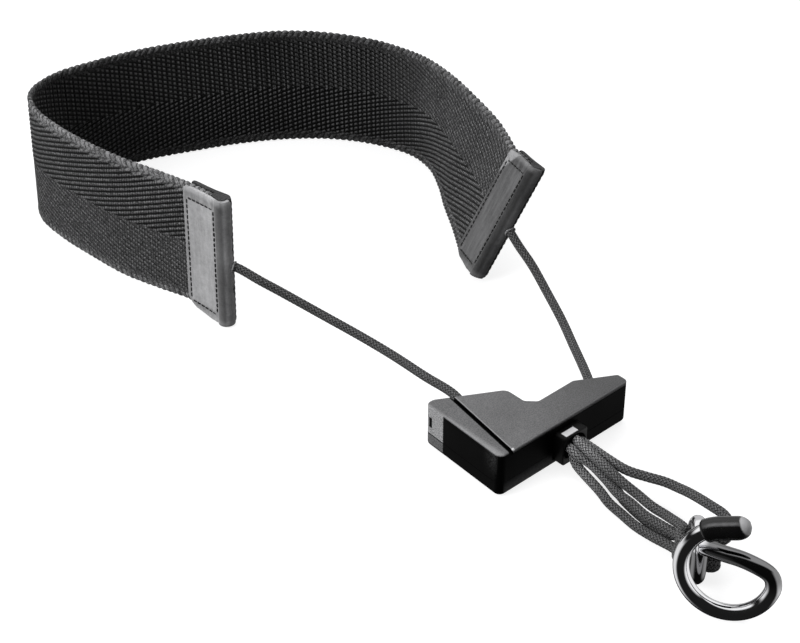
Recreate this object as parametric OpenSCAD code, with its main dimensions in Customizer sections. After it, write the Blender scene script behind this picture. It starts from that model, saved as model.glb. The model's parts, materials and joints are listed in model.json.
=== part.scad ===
// Neck strap for a wind instrument: a webbing band, two cords, a cord slider and a wire hook.
// Millimetres, +Z up. The strap lies on a table with its band standing on edge.
// The origin is on the underside of the slider, below the middle of its body.

/* [Webbing band] */
// Width of the webbing
web_w = 50; // [44:1:56]
// Thickness of the webbing
web_t = 2; // [1.6:0.1:2.4]
// Length of webbing held between the leather leaves of each tab
web_tuck = 13; // [10:0.5:14]

/* [Leather tabs] */
// Thickness of the leather
leather_t = 1.3; // [1:0.1:1.6]
// How far each tab stands below the webbing at its fold
tab_flare = 2; // [0.5:0.5:3]
// Outer radius of the rolled fold
fold_r = 3.3; // [3.3:0.1:3.8]

/* [Cord] */
// Diameter of the cord
cord_d = 3.2; // [2.8:0.1:3.3]
// Diameter of the melted stoppers on the cord ends
stopper_d = 3.8; // [3.7:0.1:4]
// Diameter of the knot that holds the tail at the hook's eye
knot_d = 6; // [5.6:0.1:6.2]
// Clearance round the cord where it passes through a hole
cord_gap = 0.15; // [0.1:0.05:0.3]
// Height of the cord's hole in each tab above the webbing's lower edge
hole_height = 23; // [20:0.5:27]

/* [Slider] */
// Width of the slider along its front face
slider_w = 60; // [56:1:64]
// Depth of the long left end
slider_depth = 36.5; // [34.5:0.5:38]
// Depth of the short right end
slider_short = 4.8; // [4.5:0.1:6]
// Height of the slider
slider_h = 17; // [16.5:0.5:18]
// Distance from the underside to the parting line
split_z = 5.6; // [5:0.1:6]
// Wall thickness of the shells
wall = 1.8; // [1.4:0.1:1.8]
// Thickness of the cover plate
cover_t = 1.5; // [1:0.1:1.6]
// Width of the groove beside the cover plate
groove_w = 1.3; // [1:0.1:1.6]
// Radius of the upright corners
corner_r = 2.6; // [2:0.2:3]
// Roundness of the lower edge
belly_r = 1.8; // [1:0.2:1.8]
// Roundness of the upper edge
brow_r = 0.7; // [0.4:0.1:0.8]
// Diameter of the steel guide posts
post_d = 3; // [2.5:0.1:3.2]

/* [Cord outlet] */
// Width of the outlet nozzle
nozzle_w = 11.2; // [11:0.1:12]
// Height of the outlet nozzle
nozzle_h = 11; // [10.8:0.1:11.2]
// How far the nozzle stands out of the front face
nozzle_out = 4.5; // [3.5:0.1:5]
// Height of the nozzle's middle above the underside
nozzle_z = 8; // [7.9:0.1:8.1]
// Diameter of the nozzle's bore
nozzle_bore = 9.2; // [9.1:0.1:9.4]

/* [Hook] */
// Diameter of the hook's wire
wire_d = 5; // [4.6:0.1:5.2]
// Radius of the ring to the middle of its wire
ring_r = 14; // [13:0.25:15]
// Width of the eye between the middles of its bars
eye_w = 10; // [9.6:0.1:10.6]
// Height of the eye to the middles of its ends
eye_h = 18; // [17.5:0.1:19]
// Outer diameter of the rubber sleeve
sleeve_d = 7.2; // [6.8:0.1:7.6]
// Part of the ring's turn under the rubber sleeve, in degrees
sleeve_back = 19; // [14:1:24]
// Length of the straight tip
tip_len = 7; // [6:0.5:9]
// Lean of the ring from upright, in degrees
ring_lean = 11.4; // [8:0.2:14]

/* [Hidden] */

black_web = [0.10, 0.10, 0.11];
black_leather = [0.16, 0.16, 0.17];
black_cord = [0.13, 0.13, 0.13];
black_shell = [0.09, 0.09, 0.10];
grey_cover = [0.20, 0.20, 0.21];
dark_steel = [0.45, 0.45, 0.47];
bright_chrome = [0.80, 0.80, 0.82];
black_rubber = [0.05, 0.05, 0.05];

round_fn = 40;
wire_sides = 16;
cord_sides = 8;
web_steps = 4;

// ---- Lines and sweeps -------------------------------------------------------------

function unit(v) = v / norm(v);
function clamp_index(list, i) = list[max(0, min(len(list) - 1, i))];

// A point at fraction t of the smooth curve between points b and c
function smooth_point(a, b, c, d, t) =
    0.5 * ((2 * b) + (c - a) * t + (2 * a - 5 * b + 4 * c - d) * t * t
           + (3 * b - a - 3 * c + d) * t * t * t);

// The smooth curve through every point of a list, with so many steps to each stretch
function smooth_line(points, steps) = [
    for (i = [0 : len(points) - 2], k = [0 : steps - 1])
        smooth_point(clamp_index(points, i - 1), points[i], points[i + 1],
                     clamp_index(points, i + 2), k / steps),
    points[len(points) - 1]
];

function heading(points, i) = unit(clamp_index(points, i + 1) - clamp_index(points, i - 1));

// The direction across the line at each point, carried along it without twist
function carried(points, i, side) =
    i == len(points) ? [] :
    let (ahead = heading(points, i), across = unit(side - (side * ahead) * ahead))
    concat([across], carried(points, i + 1, across));

// Faces of a skin through so many rings of so many corners, with both ends closed
function skin_faces(rings, corners) = concat(
    [[for (k = [0 : corners - 1]) k]],
    [for (i = [0 : rings - 2], k = [0 : corners - 1])
        let (a = i * corners, b = a + corners, n = (k + 1) % corners)
        each [[a + k, b + n, a + n], [a + k, b + k, b + n]]],
    [[for (k = [corners - 1 : -1 : 0]) (rings - 1) * corners + k]]
);

// A round tube that follows a line of points
module tube(points, d, sides, side = [0, 0, 1]) {
    across = carried(points, 0, side);
    skin = [for (i = [0 : len(points) - 1], k = [0 : sides - 1])
        let (ahead = heading(points, i), up = cross(ahead, across[i]), a = 360 * (k + 0.5) / sides)
        points[i] + d / 2 / cos(180 / sides / 2) * (cos(a) * across[i] + sin(a) * up)];
    polyhedron(skin, skin_faces(len(points), sides), convexity = 6);
}

// ---- The band's route --------------------------------------------------------------
// Each station is the foot of the band, x, y, z, and how far its top edge leans, x and y.

left_fold_foot = [-33.5, 128.8, 2.3, 0.9, 0];
left_tab_edge = [-35.3, 146.5, 2, 0.9, 0];
right_fold_foot = [53.1, 88, 3.2, 13, -14.6];
right_tab_edge = [58.8, 104.4, 1.6, 13, -14.6];

band_stations = [
    [-36.2, 151.5, 1.7, 1, 0], [-38.8, 163, 0.8, 2, 0], [-42.2, 179, 0.2, 2, 0], [-43.8, 197, 0.1, 1, 0],
    [-44.6, 215, 0.1, 1, 0], [-42.8, 231.4, 0.1, 1, -1], [-35.2, 242.6, 0.1, 0, -1],
    [-21, 246.4, 0, 0, 0], [-5, 244.6, 0, 0, 0], [13, 240.6, 0, 0, 0], [31.4, 233.4, 0, 0, 0],
    [49.4, 225, 0.1, -1, 0], [65.6, 215, 0.1, -1, 0], [79.6, 202.4, 0.1, -2, -1],
    [89.6, 187, 0.2, -2.5, -2.5], [94.8, 171, 0.2, -3.5, -2], [93, 157, 0.2, -1, 0],
    [86, 144, 0.2, 4, -2], [77.5, 132, 0.3, 9, -5], [68.5, 118, 0.6, 12.5, -10]
];

function part_way(a, b, t) = a + (b - a) * t;
function rise(s, w) = [s[3], s[4], sqrt(w * w - s[3] * s[3] - s[4] * s[4])] / w;
function foot(s) = [s[0], s[1], s[2]];
function middle(s) = foot(s) + rise(s, web_w) * web_w / 2;

// Directions along, across and up the band at a station, from its neighbours
function band_along(stations, i) =
    unit(middle(clamp_index(stations, i + 1)) - middle(clamp_index(stations, i - 1)));
function band_out(stations, i) =
    unit(cross(band_along(stations, i), rise(stations[i], web_w)));

// A flat strip through the stations. spans holds, for each station, half its thickness, how
// far it starts below the foot line and how far it ends above the top line.
module strip(stations, spans) {
    skin = [for (i = [0 : len(stations) - 1])
        let (up = rise(stations[i], web_w), out = band_out(stations, i),
             low = foot(stations[i]) - up * spans[i][1],
             high = foot(stations[i]) + up * (web_w + spans[i][2]), h = spans[i][0])
        each [low + h * out, low - h * out, high - h * out, high + h * out]];
    polyhedron(skin, skin_faces(len(stations), 4), convexity = 8);
}

function tab_length(edge, fold) = norm(middle(fold) - middle(edge));
function tucked_end(edge, fold) = part_way(edge, fold, web_tuck / tab_length(edge, fold));

webbing_line = concat(
    [tucked_end(left_tab_edge, left_fold_foot)],
    smooth_line(concat([left_tab_edge], band_stations, [right_tab_edge]), web_steps),
    [tucked_end(right_tab_edge, right_fold_foot)]);

module neck_webbing() {
    color(black_web)
        strip(webbing_line, [for (s = webbing_line) [web_t / 2, 0, 0]]);
}

// ---- Leather tabs ------------------------------------------------------------------
// A tab is one strip of leather folded round the webbing's end, open towards the band.

tab_corner = 3;
fold_arc = [0, 20, 40, 60, 75, 86];

// Stations from a tab's open edge to the end of its rolled fold
function tab_line(edge, fold) =
    let (length = tab_length(edge, fold))
    concat([edge, part_way(edge, fold, tab_corner / length),
            part_way(edge, fold, 1 - 1.6 * fold_r / length)],
           [for (a = fold_arc) part_way(edge, fold, 1 + sin(a) * fold_r / length)]);

tab_spans = concat([[web_t / 2 + leather_t, -tab_corner, 0],
                    [web_t / 2 + leather_t, 0, 0],
                    [web_t / 2 + leather_t, tab_flare, 0]],
                   [for (a = fold_arc) [fold_r * cos(a), tab_flare, 0]]);

// The room between the leaves: a slot for the webbing and a round channel in the fold
function room_line(edge, fold) =
    let (length = tab_length(edge, fold), r = fold_r - leather_t)
    concat([part_way(edge, fold, -1 / length), part_way(edge, fold, web_tuck / length)],
           [for (a = [-60, -30, 0, 30, 60, 80]) part_way(edge, fold, 1 + sin(a) * r / length)]);

room_spans = concat([[web_t / 2 + 0.05, 9, 9], [web_t / 2 + 0.05, 9, 9]],
                    [for (a = [-60, -30, 0, 30, 60, 80])
                        [max(web_t / 2, (fold_r - leather_t) * cos(a)), 9, 9]]);

function fold_mouth(fold) = foot(fold) + rise(fold, web_w) * hole_height;

// Where a neck cord leaves its stopper on the way to the given point
function cord_start(fold, to) =
    fold_mouth(fold) + unit(to - fold_mouth(fold)) * (stopper_d / 2 - 0.05);

// A tab with the hole that its cord comes out of; cord_to is the cord's next point
module tab(edge, fold, cord_to) {
    mouth = fold_mouth(fold);
    way = cord_to - mouth;
    color(black_leather)
        difference() {
            strip(tab_line(edge, fold), tab_spans);
            strip(room_line(edge, fold), room_spans);
            translate(mouth)
                rotate([0, acos(way.z / norm(way)), atan2(way.y, way.x)])
                    cylinder(d = cord_d + 2 * cord_gap, h = 3 * fold_r, $fn = round_fn);
        }
}

module left_tab() { tab(left_tab_edge, left_fold_foot, left_neck_route[1]); }
module right_tab() { tab(right_tab_edge, right_fold_foot, right_neck_route[1]); }

// The melted cord end that keeps a neck cord inside its fold
module tab_stopper(fold) {
    color(black_cord)
        translate(fold_mouth(fold))
            sphere(d = stopper_d, $fn = round_fn);
}

module left_tab_stopper() { tab_stopper(left_fold_foot); }
module right_tab_stopper() { tab_stopper(right_fold_foot); }

// ---- Slider ------------------------------------------------------------------------
// In plan a right-angled wedge: a long left end, a straight front, a slanting back edge
// with a square notch in its middle.

front_y = -6;
left_x = -slider_w / 2;
right_x = slider_w / 2;
back_left = [left_x + 2, front_y + slider_depth];
back_left_end = back_left + [3.2, 0];
back_right = [right_x, front_y + slider_short];
notch_x = -3.2;
notch_y = front_y + 12.7;
notch_chamfer = 3.2;

function back_edge_y(x) =
    back_right.y + (x - back_right.x) * (back_left_end.y - back_right.y) / (back_left_end.x - back_right.x);
function back_edge_x(y) =
    back_right.x + (y - back_right.y) * (back_left_end.x - back_right.x) / (back_left_end.y - back_right.y);

// The corners of the plan, each with its radius
plan_corners = [
    [[left_x, front_y], corner_r], [[right_x, front_y], corner_r * 0.7], [back_right, 1.5],
    [[back_edge_x(notch_y), notch_y], 2],
    [[notch_x + notch_chamfer, notch_y], 1.6], [[notch_x, notch_y + notch_chamfer], 1.6],
    [[notch_x, back_edge_y(notch_x)], 3.5],
    [back_left_end, 3], [back_left, 1.8]
];
arc_steps = 4;

// One corner moved in by inset from both its sides and rounded, as a few points
function corner_points(before, at, after, r, inset) =
    let (u = unit(at - before), v = unit(after - at), turn = u.x * v.y - u.y * v.x,
         bend = atan2(turn, u * v), n1 = [-u.y, u.x], n2 = [-v.y, v.x],
         corner = at + inset * (n1 + n2) / (1 + n1 * n2),
         rr = max(0.3, turn > 0 ? r - inset : r + inset),
         reach = rr * tan(abs(bend) / 2), start = corner - u * reach,
         centre = start + (turn > 0 ? rr : -rr) * n1)
    [for (k = [0 : arc_steps])
        let (a = bend * k / arc_steps, w = start - centre)
        centre + [w.x * cos(a) - w.y * sin(a), w.x * sin(a) + w.y * cos(a)]];

// The whole plan, moved in by inset
function plan(inset) = [
    for (i = [0 : len(plan_corners) - 1])
        let (n = len(plan_corners))
        each corner_points(plan_corners[(i + n - 1) % n][0], plan_corners[i][0],
                           plan_corners[(i + 1) % n][0], plan_corners[i][1], inset)
];

// A solid through the plan at each level, given as [z, inset]
module plan_solid(levels) {
    corners = len(plan(0));
    skin = [for (l = levels, p = plan(l[1])) [p.x, p.y, l[0]]];
    polyhedron(skin, skin_faces(len(levels), corners), convexity = 8);
}

belly = [for (a = [0 : 15 : 90]) [belly_r * (1 - cos(a)), belly_r * (1 - sin(a))]];
brow = [for (a = [0 : 22.5 : 90]) [slider_h - brow_r * (1 - sin(a)), brow_r * (1 - cos(a))]];

roof_z = slider_h - cover_t;
room_top = roof_z - wall;

module inner_room(from_z, to_z) {
    translate([0, 0, from_z])
        linear_extrude(to_z - from_z)
            polygon(plan(wall));
}

// The groove runs from the back edge down to the front left corner
groove_back = [-19.4, back_edge_y(-19.4)];
groove_front = [-25, front_y];
groove_way = unit(groove_back - groove_front);
groove_across = [groove_way.y, -groove_way.x];

// Everything to the right of a line along the groove, as a block on the roof
module right_of_groove(shift) {
    a = groove_front - 10 * groove_way + shift * groove_across;
    b = groove_back + 10 * groove_way + shift * groove_across;
    translate([0, 0, roof_z])
        linear_extrude(cover_t + 1)
            polygon([a, [slider_w, a.y], [slider_w, b.y], b]);
}

// Holes for the cords, where they enter the back face and leave the front
left_entry = [-13, back_edge_y(-13), 8];
right_entry = [22.5, back_edge_y(22.5), 8];

module bore_along(from, way, d, h) {
    translate(from)
        rotate([0, 90, atan2(way.y, way.x)])
            translate([0, 0, -h / 2])
                cylinder(d = d, h = h, $fn = round_fn);
}

module cord_entries() {
    bore_along(left_entry, left_inner_points[0] - left_entry, cord_d + 2 * cord_gap, 12);
    bore_along(right_entry, right_inner_points[0] - right_entry, cord_d + 2 * cord_gap, 12);
}

// The slot in the front wall that holds the nozzle
module nozzle_slot() {
    translate([-nozzle_w / 2, front_y - 1, nozzle_z - nozzle_h / 2])
        cube([nozzle_w, wall + 1.01, nozzle_h]);
}

screw_places = [[-23.2, 21.5], [-24, -0.5], [24.4, -2.9]];
screw_d = 2;
screw_head_d = 3.4;
screw_head_h = 1.2;
screw_gap = 0.06;
boss_d = 4.4;

module bosses(from_z, to_z) {
    for (p = screw_places)
        translate([p.x, p.y, from_z])
            cylinder(d = boss_d, h = to_z - from_z, $fn = round_fn);
}

module screw_holes() {
    for (p = screw_places)
        translate([p.x, p.y, 0]) {
            translate([0, 0, -1])
                cylinder(d = screw_head_d + 2 * screw_gap, h = 1 + screw_head_h + screw_gap, $fn = round_fn);
            cylinder(d = screw_d + 2 * screw_gap, h = roof_z - wall, $fn = round_fn);
        }
}

post_places = [[-11.4, 4.3], [12.2, 1.6]];

// resize holds each shell to its full width, and the cover to its full thickness
module slider_lower_shell() {
    color(black_shell)
        resize([slider_w, 0, 0]) difference() {
            union() {
                difference() {
                    plan_solid(concat(belly, [[split_z, 0]]));
                    inner_room(wall, slider_h);
                }
                bosses(wall, split_z);
            }
            screw_holes();
            cord_entries();
            nozzle_slot();
        }
}

module slider_upper_shell() {
    color(black_shell)
        resize([slider_w, 0, 0]) difference() {
            union() {
                difference() {
                    plan_solid(concat([[split_z, 0]], brow));
                    inner_room(split_z - 1, room_top);
                }
                bosses(split_z, room_top);
            }
            right_of_groove(-groove_w / 2);
            screw_holes();
            cord_entries();
            nozzle_slot();
        }
}

module slider_cover() {
    color(grey_cover)
        resize([0, 0, cover_t]) intersection() {
            plan_solid(concat([[split_z, 0]], brow));
            right_of_groove(groove_w / 2);
        }
}

// A rectangular mouthpiece seated in the front wall, with one bore for all the cords
module outlet_nozzle() {
    color(black_shell)
        difference() {
            translate([-nozzle_w / 2, front_y - nozzle_out, nozzle_z - nozzle_h / 2])
                cube([nozzle_w, nozzle_out + wall, nozzle_h]);
            translate([0, front_y + wall + 1, nozzle_z])
                rotate([90, 0, 0])
                    cylinder(d = nozzle_bore, h = nozzle_out + wall + 2, $fn = round_fn);
            translate([0, front_y - nozzle_out + 0.5, nozzle_z])
                rotate([90, 0, 0])
                    cylinder(d1 = nozzle_bore, d2 = nozzle_bore + 2, h = 1, $fn = round_fn);
        }
}

module guide_posts() {
    color(dark_steel)
        for (p = post_places)
            translate([p.x, p.y, wall])
                cylinder(d = post_d, h = room_top - wall, $fn = round_fn);
}

module shell_screws() {
    color(dark_steel)
        for (p = screw_places)
            translate([p.x, p.y, 0]) {
                translate([0, 0, 0.3]) cylinder(d = screw_head_d, h = screw_head_h - 0.3, $fn = round_fn);
                cylinder(d = screw_d, h = roof_z - wall - 1, $fn = round_fn);
            }
}

// ---- Cords -------------------------------------------------------------------------
// Routes are points on the cords' middle lines, in the order that the cord runs.

// A length of cord ends square to its hole, and the next begins cord_break further on
cord_break = 0.1;
function on_way(from, to, d) = from + d * unit(to - from);
function entered(entry, inside) = [on_way(entry, inside, -1.2), entry];

// Where the two neck cords turn inside the slider
left_inner_points = [[-13.4, 16, 8.3], [-10.6, 9.4, 8.6], [-6.6, 2, 8.8], [-3.6, -2.4, 9]];
right_inner_points = [[18, -0.8, 8.3], [11.4, -1.8, 8.6], [6.2, -0.8, 8.8], [3.6, -2.2, 9.1]];

left_neck_points = [
    [-30, 124.4, 24], [-27, 116.6, 21.4], [-23, 110.4, 18], [-16.4, 97, 12.4], [-11.8, 81, 9],
    [-9.8, 66, 7.6], [-10, 50, 7.8], [-10.4, 36, 8.6]
];
left_neck_route = concat([cord_start(left_fold_foot, left_neck_points[0])], left_neck_points,
                         entered(left_entry, left_inner_points[0]));
right_neck_points = [
    [57.4, 72.6, 20], [56, 64, 16], [52.5, 53, 11.6], [47.4, 40.8, 8.6], [40.8, 29, 7.4], [30, 11.8, 7.8]
];
right_neck_route = concat([cord_start(right_fold_foot, right_neck_points[0])], right_neck_points,
                          entered(right_entry, right_inner_points[0]));

// Where the five cords pass the outlet's bore, and the front of the outlet
bore_places = [for (a = [162, 18, 90, -54, -126]) [2.8 * cos(a), nozzle_z + 2.8 * sin(a)]];
mouth_y = front_y - nozzle_out;
function bore_point(i, y) = [bore_places[i].x, y, bore_places[i].y];
function in_bore(i) = [bore_point(i, front_y + 2), bore_point(i, mouth_y + cord_break)];
function out_of_bore(i) = [bore_point(i, mouth_y), bore_point(i, mouth_y - 1)];
function into_bore(i) = [bore_point(i, mouth_y - 1), bore_point(i, mouth_y)];

// Inside the slider, from each entry to the outlet
left_inner_route = concat([on_way(left_entry, left_inner_points[0], cord_break)], left_inner_points,
                          in_bore(0));
right_inner_route = concat([on_way(right_entry, right_inner_points[0], cord_break)], right_inner_points,
                           in_bore(1));

// From the outlet to the hook's eye and back
left_loop_route = concat(out_of_bore(0), [
    [-2.7, -13.8, 8.1], [-0.9, -19, 5.8], [-1.8, -26, 4.7], [-4, -33, 4.6], [-5, -39.6, 5.1],
    [-6.3, -46.7, 5.3], [-7.1, -54, 6.4], [-9.2, -64.2, 8.9], [-12.6, -65.8, 9.8], [-14.4, -69, 10.2],
    [-12.1, -72.3, 10.3], [-8.6, -75, 10.5], [-5.2, -73.6, 9.9], [-4.3, -69.4, 8.8], [-4.6, -63, 6],
    [-6.3, -54, 2.8], [-5, -46, 2.1], [-3.6, -39, 1.8], [-1.7, -32.4, 1.8], [1.5, -26, 3.2],
    [2.4, -19, 5]], into_bore(3));
right_loop_route = concat(out_of_bore(1), [
    [2.8, -16.2, 8.6], [2.7, -23.7, 8.4], [3.4, -30.2, 8], [5.4, -36.5, 8.2], [7.2, -42.6, 8.8],
    [7.4, -47.8, 9.6], [6.4, -54.4, 11.5], [3.6, -64.4, 14.6], [2.4, -70.6, 15.4], [-0.4, -75, 15],
    [-4.4, -76.8, 14.4], [-8.6, -75.4, 14], [-12.1, -72.3, 13.7], [-14.4, -68.6, 13.6],
    [-11.5, -64.8, 13.2], [-8.2, -63.6, 12.3], [-4.4, -54, 8.6], [-3, -46.5, 7],
    [-1.7, -39.6, 6.6], [-1.4, -33, 7.2], [-1.1, -26.5, 8.4], [-0.7, -19.6, 9.7]], into_bore(2));
tail_route = concat(out_of_bore(4), [
    [-2.9, -14.8, 3.7], [-4.9, -26, 2], [-7, -32.4, 1.8], [-8.1, -39, 1.8], [-9.4, -46, 2.2],
    [-9.9, -53.6, 3], [-10.9, -63.2, 5], [-14.4, -67.4, 6.4], [-12.1, -72.3, 6.8], [-10.7, -73.4, 6.5]
]);
knot_at = [-8.2, -75.2, 5.6];

module cord(route) {
    color(black_cord)
        tube(route, cord_d, cord_sides);
}

module left_neck_cord() { cord(left_neck_route); }
module right_neck_cord() { cord(right_neck_route); }
module left_loop_cord() { cord(left_loop_route); }
module right_loop_cord() { cord(right_loop_route); }
module tail_cord() { cord(tail_route); }

// The ends that come back into the slider, each with its place in the bore and the middle
// of its stopper
inner_ends = [
    [2, [0, 2.4, min(nozzle_z + 2.8, room_top - stopper_d / 2 - 0.6)]],
    [3, [2.9, 1.2, nozzle_z - 2.6]],
    [4, [-2.9, 2.2, nozzle_z - 2.6]]
];

// The cords' run through the slider and those ends
module inner_cord_runs() {
    cord(left_inner_route);
    cord(right_inner_route);
    for (e = inner_ends)
        cord(concat([on_way(e[1], in_bore(e[0])[0], stopper_d / 2)], in_bore(e[0])));
}

module inner_stoppers() {
    color(black_cord)
        for (e = inner_ends)
            translate(e[1])
                sphere(d = stopper_d, $fn = round_fn);
}

module tail_stopper() {
    color(black_cord)
        translate(knot_at)
            sphere(d = knot_d, $fn = round_fn);
}

// ---- Hook --------------------------------------------------------------------------
// One bent wire: a closed eye, a straight throat, a leaning ring and a straight tip.
// It is drawn in its own frame: X along the ring, Y behind it, and Z up.

hook_place = [-19.2, -88.9, 0];
hook_turn = -62.5;
ring_middle = [0, ring_r * sin(ring_lean), wire_d / 2 + ring_r * cos(ring_lean)];
tip_angle = 108;
eye_near = [-9.8, 9.2];
eye_turn = 110;

// The eye's far bar, which the hook swings about, is drawn round and this much thicker
bar_swell = 0.06;

function ring_point(a) = ring_middle + ring_r * [cos(a), sin(a) * sin(ring_lean), sin(a) * cos(ring_lean)];
function ring_heading(a) = [sin(a), -cos(a) * sin(ring_lean), -cos(a) * cos(ring_lean)];

ring_line = [for (a = [-9 : -9 : -360 + tip_angle]) ring_point(a)];
tip_start = ring_point(tip_angle);
tip_heading = unit(ring_heading(tip_angle) + [0, 0, -0.05]);
throat_start = [eye_near.x, eye_near.y, wire_d / 2 + eye_h - 3];
throat_line = [throat_start, throat_start + [7, -2.2, 1.2], throat_start + [13, -4, 2.2],
               [8.2, 3.9, 19.5], [11.4, 3.4, 18.5], [13.2, 3, 16.8]];

// The eye's middle line, from the foot of its near bar up, over and down again
function eye_point(across, z) =
    [eye_near.x + across * cos(eye_turn), eye_near.y + across * sin(eye_turn), z];
eye_low = wire_d / 2 + eye_w / 2;
eye_high = wire_d / 2 + eye_h - eye_w / 2;
eye_line = concat(
    [for (a = [180 : -15 : 0]) eye_point(eye_w / 2 + eye_w / 2 * cos(a), eye_high + eye_w / 2 * sin(a))],
    [for (a = [0 : -15 : -180]) eye_point(eye_w / 2 + eye_w / 2 * cos(a), eye_low + eye_w / 2 * sin(a))]);

// A closed loop of wire through a list of points
module wire_loop(points, d, sides, normal) {
    count = len(points);
    skin = [for (i = [0 : count - 1], k = [0 : sides - 1])
        let (ahead = unit(points[(i + 1) % count] - points[(i + count - 1) % count]),
             out = cross(ahead, normal), a = 360 * k / sides)
        points[i] + d / 2 * (cos(a) * out + sin(a) * normal)];
    faces = [for (i = [0 : count - 1], k = [0 : sides - 1])
        let (a = i * sides, b = ((i + 1) % count) * sides, n = (k + 1) % sides)
        each [[a + k, a + n, b + n], [a + k, b + n, b + k]]];
    polyhedron(skin, faces, convexity = 6);
}

module in_hook_frame() {
    translate(hook_place)
        rotate([0, 0, hook_turn])
            children();
}

module hook_wire() {
    color(bright_chrome)
        in_hook_frame()
            union() {
                tube(concat(throat_line, ring_line, [tip_start, tip_start + tip_len * tip_heading]),
                     wire_d, wire_sides);
                wire_loop(eye_line, wire_d, wire_sides, [-sin(eye_turn), cos(eye_turn), 0]);
                translate(eye_point(eye_w, eye_low))
                    cylinder(d = wire_d + bar_swell, h = eye_high - eye_low, $fn = round_fn);
            }
}

// A rubber sleeve closed at the wire's tip. It begins on the ring, back degrees before the tip
function sleeve_line(back, past) = concat(
    [for (k = [0 : 4]) ring_point(tip_angle + back * (1 - k / 4))],
    [tip_start + (tip_len + past) * tip_heading]);

module hook_sleeve() {
    color(black_rubber)
        in_hook_frame()
            difference() {
                tube(sleeve_line(sleeve_back, 1), sleeve_d, wire_sides);
                tube(sleeve_line(sleeve_back + 3, 0.05), wire_d + 0.12, wire_sides);
            }
}

neck_webbing();
left_tab();
right_tab();
left_tab_stopper();
right_tab_stopper();
left_neck_cord();
right_neck_cord();
slider_lower_shell();
slider_upper_shell();
slider_cover();
outlet_nozzle();
guide_posts();
shell_screws();
inner_cord_runs();
inner_stoppers();
left_loop_cord();
right_loop_cord();
tail_cord();
tail_stopper();
hook_wire();
hook_sleeve();
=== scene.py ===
import json
import math
from contextlib import contextmanager

import bmesh
import bpy
from mathutils import Matrix, Vector

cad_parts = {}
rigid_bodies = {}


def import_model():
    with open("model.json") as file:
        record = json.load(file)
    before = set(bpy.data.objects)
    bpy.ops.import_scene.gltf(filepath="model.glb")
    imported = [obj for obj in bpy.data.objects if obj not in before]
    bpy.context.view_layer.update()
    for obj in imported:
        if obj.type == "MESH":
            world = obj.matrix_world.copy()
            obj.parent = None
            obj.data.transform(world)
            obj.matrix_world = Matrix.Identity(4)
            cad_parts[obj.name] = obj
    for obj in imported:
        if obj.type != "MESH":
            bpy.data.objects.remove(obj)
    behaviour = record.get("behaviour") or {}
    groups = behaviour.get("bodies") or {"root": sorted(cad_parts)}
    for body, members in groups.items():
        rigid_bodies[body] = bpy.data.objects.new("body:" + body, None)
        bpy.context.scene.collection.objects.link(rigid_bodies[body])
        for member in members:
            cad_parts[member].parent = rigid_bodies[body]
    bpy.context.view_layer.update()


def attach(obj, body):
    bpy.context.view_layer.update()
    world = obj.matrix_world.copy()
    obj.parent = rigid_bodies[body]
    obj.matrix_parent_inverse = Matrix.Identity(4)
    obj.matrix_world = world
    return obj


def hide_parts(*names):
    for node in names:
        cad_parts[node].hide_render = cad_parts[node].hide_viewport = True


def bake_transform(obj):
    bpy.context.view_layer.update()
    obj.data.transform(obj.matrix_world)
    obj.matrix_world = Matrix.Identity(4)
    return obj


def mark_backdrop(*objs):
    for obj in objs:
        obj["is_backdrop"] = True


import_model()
MM = 0.001
SC = bpy.context.scene


# ---- camera and light -----------------------------------------------------------------

def link(obj):
    SC.collection.objects.link(obj)
    return obj


cam = link(bpy.data.objects.new("camera", bpy.data.cameras.new("camera")))
cam.data.lens = 90
cam.data.sensor_width = 36
cam.data.clip_start = 0.01
cam.location = (-0.3831, -0.3445, 0.418)
tilt = math.radians(35.5)
look = Vector((0.6756 * math.cos(tilt), 0.7373 * math.cos(tilt), -math.sin(tilt)))
cam.rotation_euler = look.to_track_quat("-Z", "Y").to_euler()
SC.camera = cam


def area_light(name, at, towards, size, power):
    data = bpy.data.lights.new(name, "AREA")
    data.shape = "SQUARE"
    data.size = size
    data.energy = power
    obj = link(bpy.data.objects.new(name, data))
    obj.location = at
    obj.rotation_euler = (Vector(towards) - Vector(at)).to_track_quat("-Z", "Y").to_euler()
    obj.visible_glossy = False
    return obj


area_light("key", (-0.9, 0.25, 0.55), (0, 0.1, 0), 0.5, 8.0)
area_light("top", (0.25, 0.3, 1.1), (0, 0.0, 0), 0.8, 7.0)


# ---- values for shader nodes ----------------------------------------------------------

class Val:
    """One socket of a node tree, with arithmetic that adds nodes."""

    def __init__(self, tree, socket):
        self.tree, self.socket = tree, socket

    def math(self, kind, *others):
        node = self.tree.nodes.new("ShaderNodeMath")
        node.operation = kind
        for slot, value in zip(node.inputs, (self,) + others):
            if isinstance(value, Val):
                self.tree.links.new(value.socket, slot)
            else:
                slot.default_value = value
        return Val(self.tree, node.outputs[0])

    def __rsub__(self, other):
        return (self * -1.0) + other

    def ramp(self, low, high, out_low=0.0, out_high=1.0):
        node = self.tree.nodes.new("ShaderNodeMapRange")
        node.interpolation_type = "SMOOTHSTEP"
        self.tree.links.new(self.socket, node.inputs[0])
        for i, v in enumerate((low, high, out_low, out_high)):
            node.inputs[i + 1].default_value = v
        return Val(self.tree, node.outputs[0])


def math_method(kind):
    return lambda self, *others: self.math(kind, *others)


for method, kind in (("__add__", "ADD"), ("__radd__", "ADD"), ("__sub__", "SUBTRACT"),
                     ("__mul__", "MULTIPLY"), ("__rmul__", "MULTIPLY"), ("__truediv__", "DIVIDE"),
                     ("sin", "SINE"), ("cos", "COSINE"), ("abs", "ABSOLUTE"), ("frac", "FRACT"),
                     ("floor", "FLOOR"), ("over", "GREATER_THAN"), ("least", "MINIMUM"),
                     ("most", "MAXIMUM")):
    setattr(Val, method, math_method(kind))


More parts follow.
